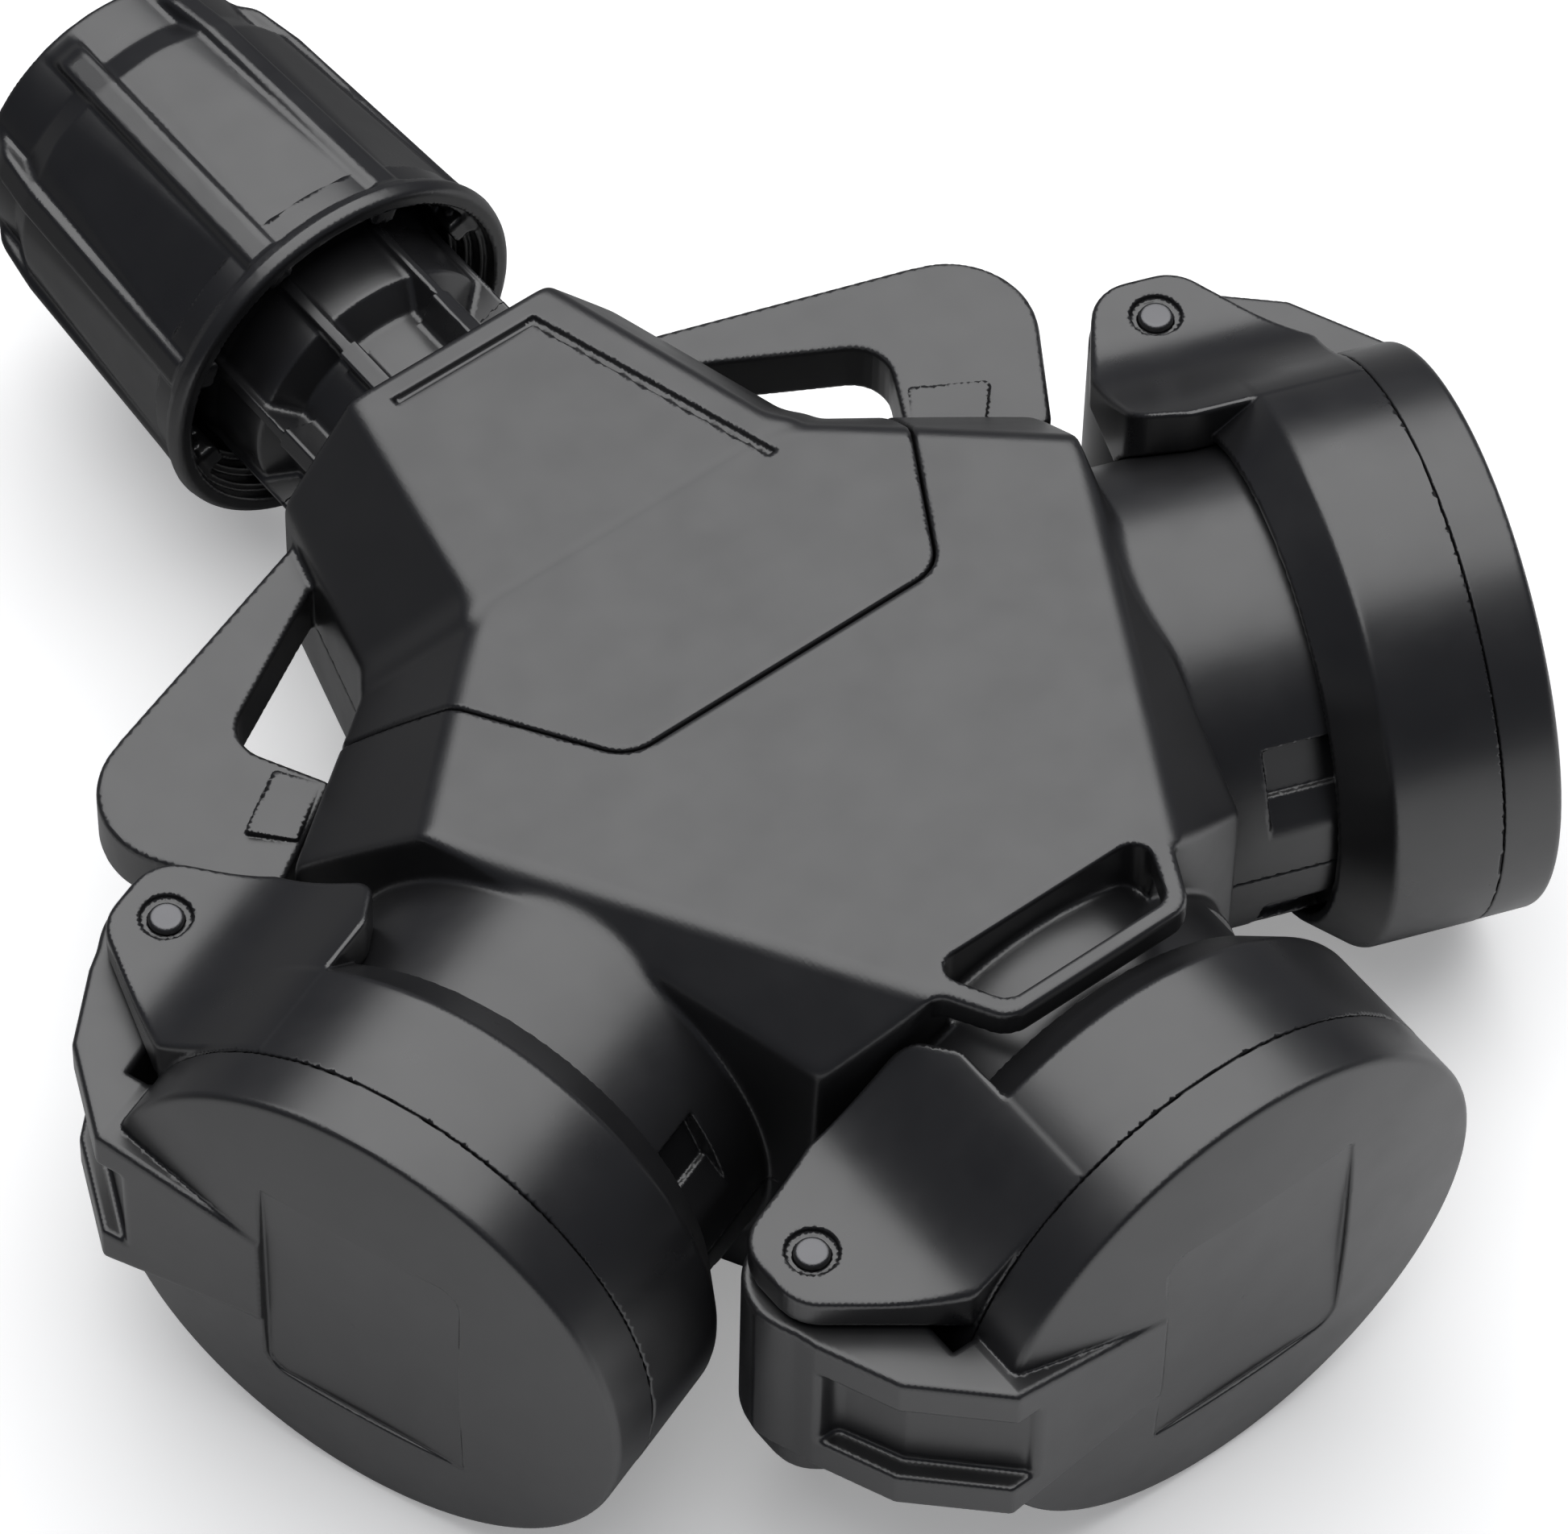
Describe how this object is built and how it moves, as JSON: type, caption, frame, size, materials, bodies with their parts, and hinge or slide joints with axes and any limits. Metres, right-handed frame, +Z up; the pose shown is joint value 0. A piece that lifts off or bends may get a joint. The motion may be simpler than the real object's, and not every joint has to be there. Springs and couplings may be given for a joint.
{
  "type": "portable socket splitter",
  "caption": "Three-way portable power splitter: faceted housing with hanging loops, three sockets under sprung lids and a ribbed cable gland.",
  "frame": {"origin": "on the flat resting face, below the point where the three socket axes meet", "axes": "+Y toward the cable gland, -Y along the front socket's axis, +Z up through the top plate, +X to the right side socket"},
  "size_m": [0.1674, 0.1962, 0.0615],
  "materials": {
    "housing_plastic": "fine matt moulded polyamide, anthracite",
    "socket_plastic": "satin moulded polyamide, anthracite",
    "lid_plastic": "satin moulded thermoplastic elastomer, anthracite",
    "gland_plastic": "satin moulded polyamide, black",
    "insert_plastic": "semi-matt heat-resistant thermoset, black",
    "seal_rubber": "soft black elastomer",
    "hinge_steel": "blackened steel pin",
    "spring_steel": "bright spring steel",
    "screw_steel": "zinc-plated steel",
    "contact_brass": "bare stamped brass",
    "clip_bronze": "phosphor bronze strip",
    "terminal_plastic": "natural polyamide"
  },
  "bodies": {
    "housing": {"front_housing": "housing_plastic", "rear_cover": "housing_plastic", "lower_housing": "housing_plastic", "housing_seal": "seal_rubber", "housing_screws": "screw_steel", "collar_right": "socket_plastic", "hinge_pin_right": "hinge_steel", "lid_spring_right": "spring_steel", "socket_insert_right": "insert_plastic", "earth_clip_right": "clip_bronze", "collar_left": "socket_plastic", "hinge_pin_left": "hinge_steel", "lid_spring_left": "spring_steel", "socket_insert_left": "insert_plastic", "earth_clip_left": "clip_bronze", "collar_front": "socket_plastic", "hinge_pin_front": "hinge_steel", "lid_spring_front": "spring_steel", "socket_insert_front": "insert_plastic", "earth_clip_front": "clip_bronze", "phase_bar": "contact_brass", "neutral_bar": "contact_brass", "earth_bar": "contact_brass", "terminal_block": "terminal_plastic", "terminal_screws": "screw_steel", "gland_body": "gland_plastic", "cable_seal": "seal_rubber"},
    "lid_right": {"lid_right": "lid_plastic", "lid_gasket_right": "seal_rubber"},
    "lid_left": {"lid_left": "lid_plastic", "lid_gasket_left": "seal_rubber"},
    "lid_front": {"lid_front": "lid_plastic", "lid_gasket_front": "seal_rubber"},
    "clamp_ring": {"clamp_ring": "gland_plastic"},
    "gland_nut": {"gland_nut": "gland_plastic"}
  },
  "joints": [
    {"name": "lid_right_hinge", "type": "hinge", "parent": "housing", "child": "lid_right", "pos_m": [0.064, 0.01619, 0.031], "axis": [0, 0, 1], "range_deg": [0, 105], "stiffness_Nm_per_rad": 0.03, "springref_deg": -20.05},
    {"name": "lid_left_hinge", "type": "hinge", "parent": "housing", "child": "lid_left", "pos_m": [-0.064, 0.01619, 0.031], "axis": [0, 0, -1], "range_deg": [0, 105], "stiffness_Nm_per_rad": 0.03, "springref_deg": -20.05},
    {"name": "lid_front_hinge", "type": "hinge", "parent": "housing", "child": "lid_front", "pos_m": [-0.0371, -0.0546, 0.031], "axis": [0, 0, -1], "range_deg": [0, 90], "stiffness_Nm_per_rad": 0.03, "springref_deg": -20.05},
    {"name": "clamp_slide", "type": "slide", "parent": "housing", "child": "clamp_ring", "axis": [0, -1, 0], "range_m": [0, 0.012]},
    {"name": "nut_turn", "type": "hinge", "parent": "clamp_ring", "child": "gland_nut", "pos_m": [0, 0.095, 0.031], "axis": [0, -1, 0], "range_deg": [0, 1441]}
  ],
  "couplings": [
    {"joint": "nut_turn", "follows": "clamp_slide", "rad_per_m": 2094.4}
  ]
}
